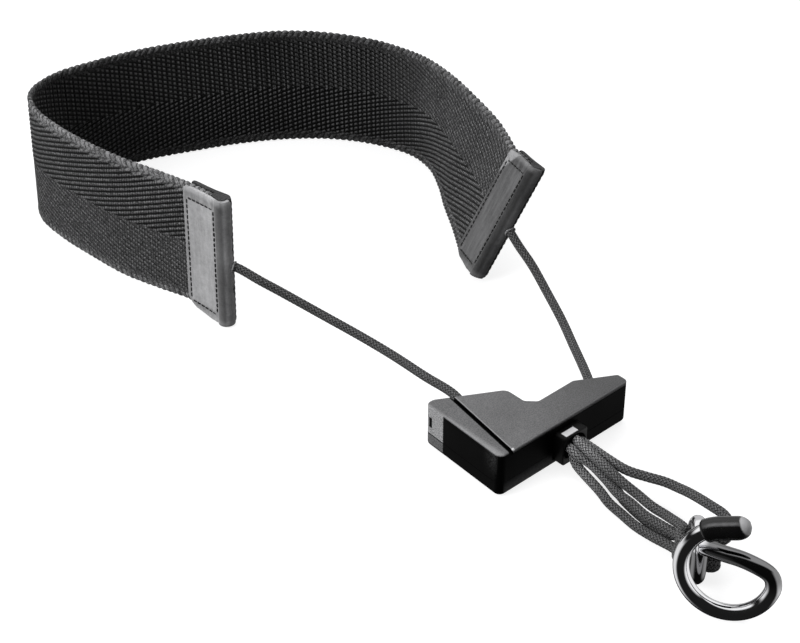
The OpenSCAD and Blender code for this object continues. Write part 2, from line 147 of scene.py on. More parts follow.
class Skin:
    """A material under construction."""

    def __init__(self, name):
        self.mat = bpy.data.materials.new(name)
        self.mat.use_nodes = True
        self.tree = self.mat.node_tree
        self.bsdf = self.tree.nodes["Principled BSDF"]

    def split(self, socket):
        node = self.tree.nodes.new("ShaderNodeSeparateXYZ")
        self.tree.links.new(socket, node.inputs[0])
        return [Val(self.tree, s) for s in node.outputs]

    def uv(self):
        node = self.tree.nodes.new("ShaderNodeUVMap")
        return self.split(node.outputs[0])[:2]

    def where(self):
        """Object coordinates in millimetres."""
        node = self.tree.nodes.new("ShaderNodeTexCoord")
        return [c * 1000.0 for c in self.split(node.outputs["Object"])]

    def noise(self, scale, detail=2.0, rough=0.5, at=None):
        node = self.tree.nodes.new("ShaderNodeTexNoise")
        node.inputs["Scale"].default_value = scale
        node.inputs["Detail"].default_value = detail
        node.inputs["Roughness"].default_value = rough
        if at is None:
            coord = self.tree.nodes.new("ShaderNodeTexCoord")
            self.tree.links.new(coord.outputs["Object"], node.inputs["Vector"])
        else:
            joined = self.tree.nodes.new("ShaderNodeCombineXYZ")
            for slot, value in zip(joined.inputs, at):
                self.tree.links.new(value.socket, slot)
            self.tree.links.new(joined.outputs[0], node.inputs["Vector"])
        return Val(self.tree, node.outputs["Fac"])

    def mix(self, factor, dark, light):
        """A mix of two greys."""
        node = self.tree.nodes.new("ShaderNodeMix")
        node.data_type = "RGBA"
        self.tree.links.new(factor.socket, node.inputs["Factor"])
        for key, value in (("A", dark), ("B", light)):
            slot = [s for s in node.inputs if s.name == key and s.type == "RGBA"][0]
            slot.default_value = grey(value)
        return [s for s in node.outputs if s.type == "RGBA"][0]

    def done(self, colour, rough=0.6, metal=0.0, sheen=0.0, height=None, depth=0.0, specular=0.5):
        for key, value in (("Base Color", colour), ("Roughness", rough), ("Metallic", metal)):
            slot = self.bsdf.inputs[key]
            if isinstance(value, Val):
                self.tree.links.new(value.socket, slot)
            elif isinstance(value, bpy.types.NodeSocket):
                self.tree.links.new(value, slot)
            else:
                slot.default_value = grey(value) if key == "Base Color" else value
        self.bsdf.inputs["Sheen Weight"].default_value = sheen
        self.bsdf.inputs["Specular IOR Level"].default_value = specular
        if height is not None:
            bump = self.tree.nodes.new("ShaderNodeBump")
            bump.inputs["Strength"].default_value = 1.0
            bump.inputs["Distance"].default_value = depth
            self.tree.links.new(height.socket, bump.inputs["Height"])
            self.tree.links.new(bump.outputs[0], self.bsdf.inputs["Normal"])
        return self.mat


def grey(value):
    return (value, value, value * 1.02, 1.0)


# ---- geometry helpers -----------------------------------------------------------------

def piece(name, verts, faces, mat, uvs=None, smooth=True):
    """A mesh object in millimetres, with one uv pair for each vertex if given."""
    mesh = bpy.data.meshes.new(name)
    mesh.from_pydata([tuple(c * MM for c in v) for v in verts], [], faces)
    if uvs is not None:
        layer = mesh.uv_layers.new(name="UVMap")
        for loop in mesh.loops:
            layer.data[loop.index].uv = uvs[loop.vertex_index]
    mesh.materials.append(mat)
    obj = link(bpy.data.objects.new(name, mesh))
    mesh.validate()
    for poly in mesh.polygons:
        poly.use_smooth = smooth
    return obj


@contextmanager
def edited(obj):
    """The object's mesh as a bmesh, which is written back at the end."""
    bm = bmesh.new()
    bm.from_mesh(obj.data)
    yield bm
    bm.to_mesh(obj.data)
    bm.free()


def quads(rings, corners, wrap=True, closed=False):
    """Faces between neighbouring rings of so many corners each."""
    faces = []
    for i in range(rings if closed else rings - 1):
        here, there = i * corners, (i + 1) % rings * corners
        for k in range(corners if wrap else corners - 1):
            n = (k + 1) % corners
            faces.append((here + k, here + n, there + n, there + k))
    return faces


def flip_out(obj):
    with edited(obj) as bm:
        bmesh.ops.recalc_face_normals(bm, faces=bm.faces)
    return obj


def sharpen(obj, degrees=35):
    """Smooth shading with the edges over so many degrees left sharp."""
    limit = math.radians(degrees)
    with edited(obj) as bm:
        for face in bm.faces:
            face.smooth = True
        for edge in bm.edges:
            edge.smooth = len(edge.link_faces) == 2 and edge.calc_face_angle(0.0) < limit
    return obj


def applied(obj):
    """The object with its modifiers worked into its mesh."""
    bpy.context.view_layer.update()
    graph = bpy.context.evaluated_depsgraph_get()
    mesh = bpy.data.meshes.new_from_object(obj.evaluated_get(graph))
    obj.modifiers.clear()
    obj.data = mesh
    return obj


def cut(obj, *tools):
    for tool in tools:
        mod = obj.modifiers.new("cut", "BOOLEAN")
        mod.operation = "DIFFERENCE"
        mod.solver = "EXACT"
        mod.object = tool
    applied(obj)
    for tool in tools:
        bpy.data.objects.remove(tool)
    return obj


def catmull(points, steps):
    """The smooth curve through the points, as part.scad draws it."""
    out = []
    last = len(points) - 1
    for i in range(last):
        a, b = points[max(i - 1, 0)], points[i]
        c, d = points[i + 1], points[min(i + 2, last)]
        for k in range(steps):
            t = k / steps
            out.append([0.5 * (2 * q + (r - p) * t + (2 * p - 5 * q + 4 * r - s) * t * t
                               + (3 * q - p - 3 * r + s) * t ** 3)
                        for p, q, r, s in zip(a, b, c, d)])
    out.append(list(points[last]))
    return out


def resample(points, step):
    """Points at even distances along a line; the first three numbers of each are its place."""
    far = [0.0]
    for a, b in zip(points, points[1:]):
        far.append(far[-1] + math.dist(a[:3], b[:3]))
    count = max(2, round(far[-1] / step))
    out, j = [], 0
    for i in range(count + 1):
        want = far[-1] * i / count
        while j < len(far) - 2 and far[j + 1] < want:
            j += 1
        span = far[j + 1] - far[j] or 1.0
        t = (want - far[j]) / span
        out.append([p + (q - p) * t for p, q in zip(points[j], points[j + 1])])
    return out, far[-1]


def ring_frames(points, side=(0, 0, 1), closed=False):
    """Two directions across the line at each point, carried along it without twist."""
    count = len(points)
    across = Vector(side)
    frames = []
    for i in range(count):
        if closed:
            ahead = Vector(points[(i + 1) % count]) - Vector(points[i - 1])
        else:
            ahead = Vector(points[min(i + 1, count - 1)]) - Vector(points[max(i - 1, 0)])
        ahead.normalize()
        across = across - across.dot(ahead) * ahead
        across.normalize()
        frames.append((across.copy(), ahead.cross(across)))
    return frames


def tube_mesh(points, radius, sides, side=(0, 0, 1), closed=False):
    """Vertices, faces and uvs of a round tube: u runs once round it, v is millimetres along."""
    frames = ring_frames(points, side, closed)
    verts, uvs = [], []
    along = 0.0
    columns = sides if closed else sides + 1
    for i, (p, (a, b)) in enumerate(zip(points, frames)):
        if i:
            along += math.dist(points[i - 1], p)
        r = radius(i) if callable(radius) else radius
        for k in range(columns):
            t = 2 * math.pi * k / sides
            verts.append(Vector(p) + r * (math.cos(t) * a + math.sin(t) * b))
            uvs.append((k / sides, along))
    rings = len(points)
    faces = quads(rings, columns, closed, closed)
    if not closed:
        for i, flip in ((0, True), (rings - 1, False)):
            verts.append(Vector(points[i]))
            uvs.append((0.5, uvs[i * columns][1]))
            mid = len(verts) - 1
            for k in range(sides):
                tri = (i * columns + k, i * columns + k + 1, mid)
                faces.append(tri[::-1] if flip else tri)
    return verts, faces, uvs


def weld(obj, distance=0.002):
    """Joins the seam of a tube, keeping the uvs of each face's own corners."""
    with edited(obj) as bm:
        bmesh.ops.remove_doubles(bm, verts=bm.verts, dist=distance * MM)
    return obj


def joined(name, parts, slot=None):
    """One object of several."""
    bm = bmesh.new()
    mats = []
    for part in parts:
        for mat in part.data.materials:
            if mat not in mats:
                mats.append(mat)
    mesh = bpy.data.meshes.new(name)
    for part in parts:
        own = [mats.index(m) for m in part.data.materials]
        before = len(bm.faces)
        bm.from_mesh(part.data)
        bm.faces.ensure_lookup_table()
        for face in bm.faces[before:]:
            face.material_index = own[min(face.material_index, len(own) - 1)]
        bpy.data.objects.remove(part)
    bm.to_mesh(mesh)
    bm.free()
    for mat in mats:
        mesh.materials.append(mat)
    obj = link(bpy.data.objects.new(name, mesh))
    return obj


# ---- cords ----------------------------------------------------------------------------
# The points are those of part.scad, in millimetres.

CORD_D, CORD_SIDES = 3.2, 32
STRANDS, BRAID_PITCH = 8.0, 1.5


def cord_material():
    s = Skin("braided_cord")
    u, v = s.uv()
    a, b = u * STRANDS + v / BRAID_PITCH, u * STRANDS - v / BRAID_PITCH
    over = ((a.floor() + b.floor()) * 0.5).frac().over(0.25)
    strand_a, strand_b = (a * math.pi).sin().abs(), (b * math.pi).sin().abs()
    strand = strand_a * over + strand_b * (1.0 - over)
    yarn = ((a - b) * 6.0 * over + (a + b) * 6.0 * (1.0 - over)).sin() * 0.5 + 0.5
    fuzz = s.noise(2400.0, 2.0, 0.7)
    height = strand * 0.8 + yarn * 0.12 + fuzz * 0.3
    y = s.where()[1]
    # painted light: the cords are made paler between y = -34 and -6 mm, most from -12 to -8 mm, by the
    # nozzle
    painted_light_near_nozzle = y.ramp(-34.0, -12.0) * y.ramp(-6.0, -8.0)
    tone = strand.ramp(0.25, 0.9) * fuzz.ramp(0.33, 0.66, 0.5, 1.15)
    tone = tone * (yarn * 0.35 + 0.65) * (painted_light_near_nozzle * 1.6 + 0.9)
    return s.done(s.mix(tone.least(3.0) / 3.0, 0.003, 0.5), rough=0.6, sheen=0.1, height=height,
                  depth=0.0005, specular=0.3)


CORD = cord_material()


def make_cord(name, points, node, start):
    """A braided cord along the points, baked where it lies; nothing makes it bend between its two bodies."""
    line, length = resample(catmull(points, 8), 0.4)
    verts, faces, uvs = tube_mesh(line, CORD_D / 2, CORD_SIDES)
    for i, (k, v) in enumerate(uvs[:-2]):
        wave = (abs(math.sin(math.pi * (STRANDS * k + v / BRAID_PITCH)))
                * abs(math.sin(math.pi * (STRANDS * k - v / BRAID_PITCH))))
        centre = Vector(line[i // (CORD_SIDES + 1)])
        verts[i] = centre + (verts[i] - centre) * (0.97 + 0.07 * wave)
    obj = weld(piece(name, verts, faces, CORD, uvs))
    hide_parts(node)
    [c * MM for c in points[0]]
    [c * MM for c in start]
    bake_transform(obj)


def bore_point(i, y):
    a = math.radians((162, 18, 90, -54, -126)[i])
    return [2.8 * math.cos(a), y, 8 + 2.8 * math.sin(a)]


MOUTH_Y = -10.5
BACK_SLOPE = (30.5 + 1.2) / (-24.8 - 30.0)


def back_edge_y(x):
    return -1.2 + (x - 30.0) * BACK_SLOPE


LEFT_ENTRY = [-13, back_edge_y(-13), 8]
RIGHT_ENTRY = [22.5, back_edge_y(22.5), 8]


def on_way(start, end, d):
    gap = math.dist(start, end)
    return [p + (q - p) * d / gap for p, q in zip(start, end)]


def entered(entry, inside):
    return [on_way(entry, inside, -1.2), entry]


def bore_ends(i):
    return [bore_point(i, MOUTH_Y), bore_point(i, MOUTH_Y - 1)]


LEFT_MOUTH, RIGHT_MOUTH = [-33.1, 128.8, 25.3], [59.1, 81.3, 24.5]
left_neck = [
    on_way(LEFT_MOUTH, [-30, 124.4, 24], 1.85), [-30, 124.4, 24], [-27, 116.6, 21.4],
    [-23, 110.4, 18], [-16.4, 97, 12.4], [-11.8, 81, 9], [-9.8, 66, 7.6], [-10, 50, 7.8],
    [-10.4, 36, 8.6]] + entered(LEFT_ENTRY, [-13.4, 16, 8.3])
right_neck = [
    on_way(RIGHT_MOUTH, [57.4, 72.6, 20], 1.85), [57.4, 72.6, 20], [56, 64, 16], [52.5, 53, 11.6],
    [47.4, 40.8, 8.6], [40.8, 29, 7.4], [30, 11.8, 7.8]] + entered(RIGHT_ENTRY, [18, -0.8, 8.3])
left_loop = bore_ends(0) + [
    [-2.7, -13.8, 8.1], [-0.9, -19, 5.8], [-1.8, -26, 4.7], [-4, -33, 4.6], [-5, -39.6, 5.1],
    [-6.3, -46.7, 5.3], [-7.1, -54, 6.4], [-9.2, -64.2, 8.9], [-12.6, -65.8, 9.8], [-14.4, -69, 10.2],
    [-12.1, -72.3, 10.3], [-8.6, -75, 10.5], [-5.2, -73.6, 9.9], [-4.3, -69.4, 8.8], [-4.6, -63, 6],
    [-6.3, -54, 2.8], [-5, -46, 2.1], [-3.6, -39, 1.8], [-1.7, -32.4, 1.8], [1.5, -26, 3.2],
    [2.4, -19, 5]] + bore_ends(3)[::-1]
right_loop = bore_ends(1) + [
    [2.8, -16.2, 8.6], [2.7, -23.7, 8.4], [3.4, -30.2, 8], [5.4, -36.5, 8.2], [7.2, -42.6, 8.8],
    [7.4, -47.8, 9.6], [6.4, -54.4, 11.5], [3.6, -64.4, 14.6], [2.4, -70.6, 15.4], [-0.4, -75, 15],
    [-4.4, -76.8, 14.4], [-8.6, -75.4, 14], [-12.1, -72.3, 13.7], [-14.4, -68.6, 13.6],
    [-11.5, -64.8, 13.2], [-8.2, -63.6, 12.3], [-4.4, -54, 8.6], [-3, -46.5, 7],
    [-1.7, -39.6, 6.6], [-1.4, -33, 7.2], [-1.1, -26.5, 8.4], [-0.7, -19.6, 9.7]] + bore_ends(2)[::-1]
tail = bore_ends(4) + [
    [-2.9, -14.8, 3.7], [-4.9, -26, 2], [-7, -32.4, 1.8], [-8.1, -39, 1.8], [-9.4, -46, 2.2],
    [-9.9, -53.6, 3], [-10.9, -63.2, 5], [-14.4, -67.4, 6.4], [-12.1, -72.3, 6.8], [-10.7, -73.4, 6.5]]
KNOT = [-8.2, -75.2, 5.6]

LOOP_START, LOOP_END = [0, MOUTH_Y, 0], [0, -62, 0]

make_cord("left_cord", left_neck, "left_neck_cord", left_neck[0])
make_cord("right_cord", right_neck, "right_neck_cord", right_neck[0])
make_cord("left_loop", left_loop, "left_loop_cord", LOOP_START)
make_cord("right_loop", right_loop, "right_loop_cord", LOOP_START)


def knot_piece():
    """The tail's end, melted into a lump of braid with a crumpled face."""
    verts, faces, uvs = [], [], []
    rings, sides = 14, 24
    way = Vector((0.79, -0.6, -0.1)).normalized()
    a = way.orthogonal().normalized()
    b = way.cross(a)
    for i in range(rings + 1):
        t = math.pi * i / rings
        for k in range(sides + 1):
            p = 2 * math.pi * k / sides
            r = 2.9 * (1 + 0.05 * math.sin(5 * p + 3 * t) * math.sin(t) - 0.04 * math.cos(4 * t))
            verts.append(Vector(KNOT) + r * math.sin(t) * (math.cos(p) * a + math.sin(p) * b)
                         - r * math.cos(t) * 1.02 * way)
            uvs.append((k / sides * 1.4, 3.4 * t))
    faces = quads(rings + 1, sides + 1, wrap=False)
    obj = flip_out(weld(piece("tail_knot", verts, faces, CORD, uvs), 0.02))
    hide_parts("tail_stopper")
    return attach(obj, "cord_end")


knot = knot_piece()
make_cord("tail", tail, "tail_cord", LOOP_START)


# ---- the band -------------------------------------------------------------------------

WEB_W, WEB_T, TUCK = 50.0, 2.0, 13.0
LEFT_FOLD, LEFT_EDGE = [-33.5, 128.8, 2.3, 0.9, 0], [-35.3, 146.5, 2, 0.9, 0]
RIGHT_FOLD, RIGHT_EDGE = [53.1, 88, 3.2, 13, -14.6], [58.8, 104.4, 1.6, 13, -14.6]
STATIONS = [
    [-36.2, 151.5, 1.7, 1, 0], [-38.8, 163, 0.8, 2, 0], [-42.2, 179, 0.2, 2, 0],
    [-43.8, 197, 0.1, 1, 0], [-44.6, 215, 0.1, 1, 0], [-42.8, 231.4, 0.1, 1, -1], [-35.2, 242.6, 0.1, 0, -1],
    [-21, 246.4, 0, 0, 0], [-5, 244.6, 0, 0, 0], [13, 240.6, 0, 0, 0], [31.4, 233.4, 0, 0, 0],
    [49.4, 225, 0.1, -1, 0], [65.6, 215, 0.1, -1, 0], [79.6, 202.4, 0.1, -2, -1],
    [89.6, 187, 0.2, -2.5, -2.5], [94.8, 171, 0.2, -3.5, -2], [93, 157, 0.2, -1, 0],
    [86, 144, 0.2, 4, -2], [77.5, 132, 0.3, 9, -5], [68.5, 118, 0.6, 12.5, -10]]


def rise(s):
    return Vector((s[3], s[4], math.sqrt(WEB_W ** 2 - s[3] ** 2 - s[4] ** 2))) / WEB_W


def middle(s):
    return Vector(s[:3]) + rise(s) * WEB_W / 2


def part_way(a, b, t):
    return [p + (q - p) * t for p, q in zip(a, b)]


def tab_length(edge, fold):
    return (middle(fold) - middle(edge)).length


def band_frames(line):
    """Foot, up, out and ahead at each station."""
    out = []
    for i, s in enumerate(line):
        ahead = (middle(line[min(i + 1, len(line) - 1)]) - middle(line[max(i - 1, 0)])).normalized()
        up = rise(s)
        out.append((Vector(s[:3]), up, ahead.cross(up), ahead))
    return out


def tucked(edge, fold):
    return part_way(edge, fold, TUCK / tab_length(edge, fold))


band_line = ([tucked(LEFT_EDGE, LEFT_FOLD)] + catmull([LEFT_EDGE] + STATIONS + [RIGHT_EDGE], 12)
             + [tucked(RIGHT_EDGE, RIGHT_FOLD)])


# The weave: ribs per millimetre up and along the band, then the pitches of its picks, of the
# beads on its inner face and of the loops at its edges
RIB_UP, RIB_ALONG = 0.51, 0.185
PICK, BEAD, EDGE_LOOP = 1.23, 1.95, 2.6


def webbing_material():
    s = Skin("herringbone_webbing")
    u, v = s.uv()
    inside = (u * -1.0).ramp(0.0, 1.0)
    u, half = u.abs(), v.abs()
    rib = ((half * RIB_UP + u * RIB_ALONG) * math.pi).sin().abs()
    pick = (u / PICK * math.pi).sin().abs()
    fuzz = s.noise(1700.0, 3.0, 0.7)
    broad = s.noise(55.0, 2.0)
    height = rib * 0.8 + pick * rib * 0.5 + fuzz * 0.3
    split = s.noise(1.0, 2.0, 0.6, at=[u * 0.55, v * 2.2, u * 0.0]).ramp(0.35, 0.65, 0.4, 1.25)
    flat = v.ramp(-0.3, 0.3)
    ribs = rib.ramp(0.35, 0.9) * (1.0 - flat * 0.5) + flat * 0.32
    tone = ribs * pick.ramp(0.1, 0.9, 0.25, 1.0) * fuzz.ramp(0.35, 0.65, 0.2, 1.35)
    back = u.ramp(40.0, 90.0) * u.ramp(296.0, 256.0) * inside
    bead = rib.ramp(0.45, 0.95) * (u / BEAD * math.pi).sin().abs().ramp(0.4, 0.95)
    bead = bead * fuzz.ramp(0.3, 0.7, 0.6, 1.1)
    tone = tone * split * (1.0 - back) + bead * back * 0.75
    brink = half.ramp(20.6, 21.2)
    loops = ((u + half * 0.8) / EDGE_LOOP * math.pi).sin().abs().ramp(0.15, 0.7, 0.4, 1.2)
    loops = loops * fuzz.ramp(0.35, 0.65, 0.3, 1.35) * 0.8 * (1.0 - back * 0.55)
    tone = tone * (1.0 - brink) + brink * loops * (1.0 - flat * 0.4)
    tone = tone * (broad * 0.7 + 0.65) * (1.0 - back * 0.3)
    return s.done(s.mix(tone, 0.003, 0.23), rough=0.8, sheen=0.05, height=height,
                  depth=0.0007, specular=0.15)


WEB = webbing_material()
EDGE_V = 22.3


def rib_height(u, v):
    return abs(math.sin(math.pi * (abs(v) * RIB_UP + u * RIB_ALONG))) ** 0.8


def webbing_piece():
    line, length = resample(band_line, 1.0)
    frames = band_frames(line)
    half_w = EDGE_V + 0.4
    steps = 104
    across = [-half_w + 2 * half_w * k / steps for k in range(steps + 1)]
    verts, uvs, faces = [], [], []
    count = 2 * (steps + 1)
    for i, (foot, up, out, _) in enumerate(frames):
        u = length * i / (len(frames) - 1)
        for side, order in ((1, across), (-1, across[::-1])):
            for v in order:
                edge = min(1.0, (half_w - abs(v)) / 1.2)
                relief = (0.28 if v * side > 0 else 0.45) * rib_height(u, v)
                h = WEB_T / 2 - 0.4 + relief * (0.4 + 0.6 * edge)
                verts.append(foot + up * (WEB_W / 2 + v) + side * h * out)
                uvs.append((-u * side, v * side))
    faces = quads(len(frames), count)
    for base in (0, (len(frames) - 1) * count):
        for k in range(steps):
            faces.append((base + k, base + k + 1, base + count - 2 - k, base + count - 1 - k))
    obj = flip_out(piece("band_webbing", verts, faces, WEB, uvs))
    return obj, length


def selvage_material(name, painted_shade_gain):
    s = Skin(name)
    u, v = s.uv()
    lobe = (v / EDGE_LOOP * math.pi).sin().abs()
    yarn = (v / 0.65 * math.pi).sin().abs()
    fuzz = s.noise(1700.0, 3.0, 0.7)
    clump = s.noise(420.0, 2.0)
    tone = lobe.ramp(0.1, 0.7, 0.3, 1.0) * fuzz.ramp(0.35, 0.65, 0.25, 1.35)
    tone = tone * clump.ramp(0.35, 0.65, 0.55, 1.25)
    # also darker from 92 to 300 mm along the band
    tone = tone * (yarn * 0.4 + 0.7) * (1.0 - v.ramp(92.0, 122.0) * v.ramp(300.0, 256.0) * 0.45)
    # painted shade: dimmer from 110 mm along the band onward, over its far part and right arm; the gain
    # darkens the whole low edge as painted shade
    tone = tone * v.ramp(110.0, 80.0, 0.65, 1.1) * painted_shade_gain
    return s.done(s.mix(tone, 0.004, 0.31), rough=0.8, sheen=0.1,
                  height=fuzz * 0.7 + lobe * 0.5, depth=0.0006, specular=0.15)


# The low edge is the top edge's yarn with painted shade: 0.6 of its tone.
SELVAGE = {1: selvage_material("top_selvage_yarn", 1.0),
           -1: selvage_material("low_selvage_yarn", 0.6)}


def selvage_piece(name, where):
    """The looped edge of the webbing: slanting turns of yarn that make a toothed outline."""
    line, length = resample(band_line, 0.3)
    frames = band_frames(line)
    sides = 24
    verts, uvs, faces = [], [], []
    for i, (foot, up, out, ahead) in enumerate(frames):
        u = length * i / (len(frames) - 1)
        for k in range(sides + 1):
            t = 2 * math.pi * k / sides
            c, d = math.cos(t), math.sin(t)
            turn = u - 0.9 * c * where
            lobe = abs(math.sin(math.pi * turn / EDGE_LOOP)) ** 0.7
            fray = 0.5 + 0.5 * math.sin(turn * 2.46) * math.sin(turn * 0.87 + where)
            v = 23.55 + 1.35 * math.copysign(abs(c) ** 0.8, c)
            v += (0.7 * lobe + 0.15 * fray - 0.6) * max(0.0, c)
            h = (0.68 + 0.26 * lobe + 0.08 * fray) * math.copysign(abs(d) ** 0.7, d)
            verts.append(foot + up * (WEB_W / 2 + where * v) + out * h)
            uvs.append((k / sides, turn))
    faces = quads(len(frames), sides + 1, wrap=False)
    obj = flip_out(weld(piece(name, verts, faces, SELVAGE[where], uvs), 0.0005))
    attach(obj, "neck_band")
    return obj


top_edge = selvage_piece("band_top_selvage", 1)
low_edge = selvage_piece("band_low_selvage", -1)
web, web_length = webbing_piece()
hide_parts("neck_webbing")
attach(web, "neck_band")


# ---- the slider -----------------------------------------------------------------------

FRONT, LEFT_X, RIGHT_X, SLIDER_H, SPLIT, WALL = -6.0, -30.0, 30.0, 17.0, 5.6, 1.8
COVER_T, GROOVE_W, BELLY, BROW = 1.5, 1.3, 1.8, 0.7
ROOF = SLIDER_H - COVER_T
NOTCH_Y = 6.7
CORNERS = [
    ((LEFT_X, FRONT), 2.6), ((RIGHT_X, FRONT), 1.8), ((RIGHT_X, -1.2), 1.5),
    ((30.0 + (NOTCH_Y + 1.2) / BACK_SLOPE, NOTCH_Y), 2), ((0.0, NOTCH_Y), 1.6),
    ((-3.2, NOTCH_Y + 3.2), 1.6), ((-3.2, back_edge_y(-3.2)), 3.5), ((-24.8, 30.5), 3),
    ((-28, 30.5), 1.8)]
SCREWS = ((-23.2, 21.5), (-24, -0.5), (24.4, -2.9))
NOZZLE_X, NOZZLE_LOW, NOZZLE_HIGH, NOZZLE_OUT = 5.6, 2.5, 13.5, 4.5
BORE_R, BORE_Z = 4.6, 8


def plan(inset, steps=8):
    out = []
    n = len(CORNERS)
    for i in range(n):
        before, at, after = (Vector(CORNERS[j % n][0]) for j in (i - 1, i, i + 1))
        r = CORNERS[i][1]
        u, v = (at - before).normalized(), (after - at).normalized()
        turn = u.x * v.y - u.y * v.x
        bend = math.atan2(turn, u.dot(v))
        n1, n2 = Vector((-u.y, u.x)), Vector((-v.y, v.x))
        corner = at + inset * (n1 + n2) / (1 + n1.dot(n2))
        rr = max(0.3, r - inset if turn > 0 else r + inset)
        start = corner - u * rr * math.tan(abs(bend) / 2)
        centre = start + (rr if turn > 0 else -rr) * n1
        w = start - centre
        for k in range(steps + 1):
            a = bend * k / steps
            out.append((centre.x + w.x * math.cos(a) - w.y * math.sin(a),
                        centre.y + w.x * math.sin(a) + w.y * math.cos(a)))
    return out


def plan_skin(name, levels, mat):
    verts = [(x, y, z) for z, inset in levels for x, y in plan(inset)]
    n = len(plan(0))
    faces = quads(len(levels), n)
    faces.append(tuple(range(n))[::-1])
    faces.append(tuple(range((len(levels) - 1) * n, len(levels) * n)))
    return flip_out(piece(name, verts, faces, mat))


def plastic(name, colour, rough, depth, shape=None, specular=0.3):
    s = Skin(name)
    speck = s.noise(2400.0, 3.0, 0.6)
    broad = s.noise(60.0, 2.0)
    tone = speck.ramp(0.33, 0.67, 0.75, 1.25) * (broad * 0.5 + 0.75) * colour
    if shape:
        tone = shape(s, tone, speck)
    return s.done(s.mix(tone, 0.0, 1.0), rough=broad.ramp(0.3, 0.7, rough * 0.92, rough * 1.08),
                  height=speck, depth=depth, specular=specular)


def from_groove(x, y):
    """Signed distance from the groove's middle line, positive to the right."""
    return (x - groove_front.x) * groove_across.x + (y - groove_front.y) * groove_across.y


def shell_tone(s, tone, speck):
    """Near black walls with painted light: a paler top, a painted highlight along its left edge, a pale
    patch low on the front face and a painted sheen up the left wall; and a painted reflection on the left
    end, kept off its small slot and the parting line.
    """
    x, y, z = s.where()
    # painted light: the top left of the groove is made many times paler than the walls (x72 below)
    top = z.ramp(16.3, 16.9) * from_groove(x, y).ramp(-GROOVE_W / 2 - 0.35, -GROOVE_W / 2 - 0.55)
    # painted light: a pale patch low on the front face, left of the middle
    low = y.ramp(-5.8, -5.95) * z.ramp(6.5, 0.5) * x.ramp(-29.5, -26.0) * x.ramp(6.0, -14.0)
    # painted reflection: a pale patch on the back part of the left end, dimmer below the parting line and
    # kept off the slot
    painted_reflection_and_pale_edges = x.ramp(-26.8, -27.0) * y.ramp(21.6, 22.0) * z.ramp(1.4, 1.8)
    slot = (y.ramp(27.2, 27.5) * y.ramp(28.9, 28.6) * z.ramp(8.2, 8.6) * z.ramp(12.6, 12.2)
            + z.ramp(5.2, 5.5) * z.ramp(5.75, 5.7)).least(1.0)
    painted_reflection_and_pale_edges = painted_reflection_and_pale_edges * (1.0 - slot) * (z.ramp(5.4, 5.8) * 0.6 + 0.4) * (1.0 - top)
    # painted highlight along the left edge of the top
    bright = top * x.ramp(-26.9, -28.9) * 0.11
    # painted sheen on the left wall, growing from the parting line upward
    side = x.ramp(-29.5, -29.9) * z.ramp(5.7, 17.0) * speck.ramp(0.35, 0.65, 0.3, 1.6) * 13.0
    tone = tone * (top * 72.0 + 1.0 + low * 70.0 + side)
    return tone + bright + painted_reflection_and_pale_edges * speck.ramp(0.3, 0.7, 0.16, 0.5)


def cover_tone(s, tone, _):
    """Painted shade on the wall facing the groove and low down in it; painted highlights along the groove's
    right rim and the front edge, a painted glint at the groove's front end, and painted light paler towards
    the left.
    """
    x, y, z = s.where()
    d = from_groove(x, y)
    # painted highlight along the groove's right rim
    rim = d.ramp(GROOVE_W / 2 + 0.34, GROOVE_W / 2 + 0.24) * z.ramp(16.8, 16.86)
    # painted glint where the groove meets the front edge
    painted_glint = d.ramp(GROOVE_W / 2 + 0.9, GROOVE_W / 2 + 0.7) * y.ramp(-4.9, -5.1) * z.ramp(16.5, 16.6)
    # painted highlight along the front edge
    brink = y.ramp(-5.35, -5.45) * z.ramp(16.55, 16.65) * z.ramp(16.97, 16.93)
    # painted shade on the wall facing the groove
    wall = d.ramp(GROOVE_W / 2 + 0.02, GROOVE_W / 2 + 0.06)
    # painted light, paler towards the left
    tone = tone * (x - y * 0.5).ramp(-22.0, 24.0, 1.35, 0.85)
    # painted shade low down, in the groove
    return tone * z.ramp(15.9, 16.3, 0.05, 1.0) * wall + rim * 0.16 + painted_glint * 0.45 + brink * 0.07


def nozzle_tone(s, tone, _):
    """A painted highlight on the nozzle's flat top."""
    x, y, z = s.where()
    painted_highlight = x.ramp(-3.9, -3.6) * x.ramp(1.9, 1.6) * y.ramp(-10.0, -9.8) * y.ramp(-7.4, -7.6)
    return tone + painted_highlight * z.ramp(13.3, 13.4) * 0.62


groove_back = Vector((-19.4, back_edge_y(-19.4)))
groove_front = Vector((-25.0, FRONT))
groove_way = (groove_back - groove_front).normalized()
groove_across = Vector((groove_way.y, -groove_way.x))
SHELL = plastic("shell_plastic", 0.002, 0.5, 0.00003, shell_tone, 0.02)
COVER = plastic("cover_plastic", 0.105, 0.6, 0.00004, cover_tone)
NOZZLE = plastic("nozzle_plastic", 0.003, 0.35, 0.00001, nozzle_tone, 0.1)

belly = [(BELLY * (1 - math.cos(a)), BELLY * (1 - math.sin(a)))
         for a in (math.radians(d) for d in range(0, 91, 10))]
brow = [(SLIDER_H - BROW * (1 - math.sin(a)), BROW * (1 - math.cos(a)))
        for a in (math.radians(d) for d in range(0, 91, 15))]
LIP = 0.12
ROOM_TOP = ROOF - WALL
low_shell = plan_skin("slider_low", belly + [
    (SPLIT - LIP, 0), (SPLIT - 0.02, LIP), (SPLIT - 0.02, WALL), (WALL, WALL)], SHELL)
high_shell = plan_skin("slider_high", [
    (ROOM_TOP, WALL), (SPLIT, WALL), (SPLIT, LIP), (SPLIT + LIP, 0), (ROOF - 0.15, 0),
    (ROOF, 0.15)], SHELL)


